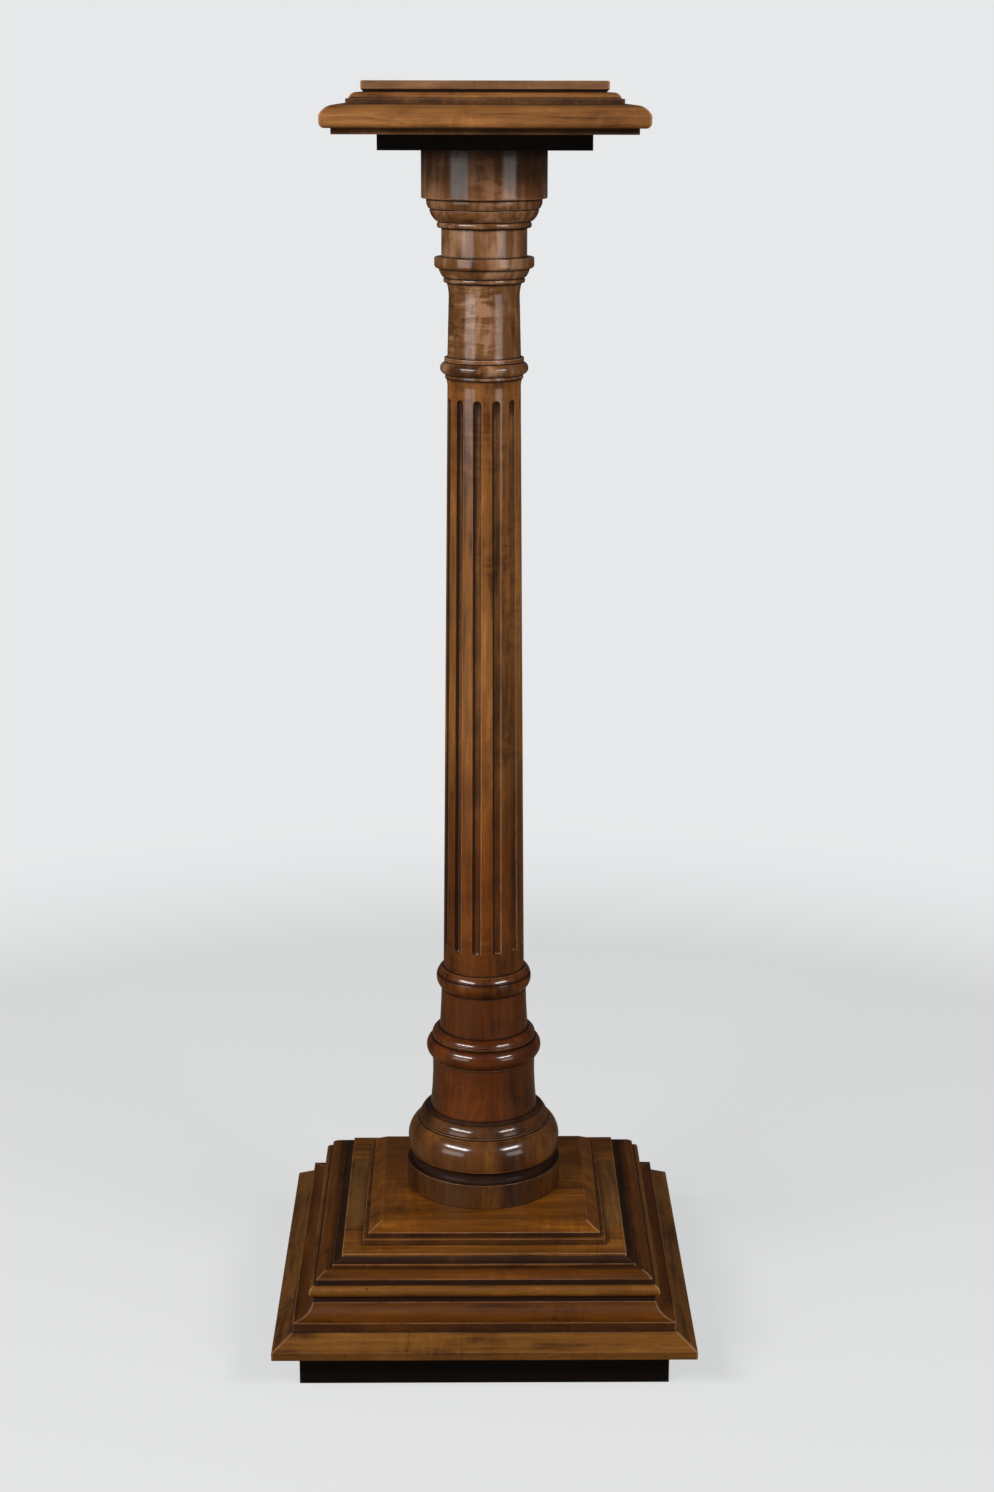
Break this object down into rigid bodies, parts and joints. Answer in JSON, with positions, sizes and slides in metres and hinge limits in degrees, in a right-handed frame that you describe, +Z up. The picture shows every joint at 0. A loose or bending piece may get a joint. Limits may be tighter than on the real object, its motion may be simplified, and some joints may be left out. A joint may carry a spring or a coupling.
{
  "type": "pedestal column stand",
  "caption": "Walnut pedestal column stand: black plinth, stepped and moulded square base, turned column with a fluted shaft, and a stepped square top to stand a plant or ornament on.",
  "frame": {"origin": "centre of the square footprint, on the floor that the plinth stands on", "axes": "+Z up along the column; the front of the stand faces -Y; +X is to the right seen from the front"},
  "size_m": [0.381, 0.381, 1.1393],
  "materials": {
    "top_walnut": "gloss",
    "base_walnut": "gloss",
    "column_walnut": "gloss",
    "black_lacquer": "satin",
    "hidden_softwood": "matte",
    "steel_screws": "satin"
  },
  "bodies": {
    "root": {"bead_moulding_back": "base_walnut", "bead_moulding_front": "base_walnut", "bead_moulding_left": "base_walnut", "bead_moulding_right": "base_walnut", "capital": "column_walnut", "capital_screws": "steel_screws", "collar": "column_walnut", "column_foot": "column_walnut", "core_board_bottom": "hidden_softwood", "core_board_middle": "hidden_softwood", "core_board_top": "hidden_softwood", "core_screws": "steel_screws", "cove_moulding_back": "base_walnut", "cove_moulding_front": "base_walnut", "cove_moulding_left": "base_walnut", "cove_moulding_right": "base_walnut", "fluted_shaft": "column_walnut", "frame_field_board": "hidden_softwood", "frame_rail_back": "base_walnut", "frame_rail_front": "base_walnut", "frame_stile_left": "base_walnut", "frame_stile_right": "base_walnut", "lower_drum": "column_walnut", "main_top_board": "top_walnut", "middle_top_board": "top_walnut", "neck": "column_walnut", "plinth_block_back_left": "hidden_softwood", "plinth_block_back_right": "hidden_softwood", "plinth_block_front_left": "hidden_softwood", "plinth_block_front_right": "hidden_softwood", "plinth_block_screws": "steel_screws", "plinth_rail_back": "black_lacquer", "plinth_rail_front": "black_lacquer", "plinth_rail_left": "black_lacquer", "plinth_rail_right": "black_lacquer", "raised_panel": "base_walnut", "slab_back": "base_walnut", "slab_front": "base_walnut", "slab_left": "base_walnut", "slab_right": "base_walnut", "step_moulding_back": "base_walnut", "step_moulding_front": "base_walnut", "step_moulding_left": "base_walnut", "step_moulding_right": "base_walnut", "top_board_screws": "steel_screws", "under_board": "black_lacquer", "upper_drum": "column_walnut", "upper_top_board": "top_walnut"}
  },
  "joints": []
}
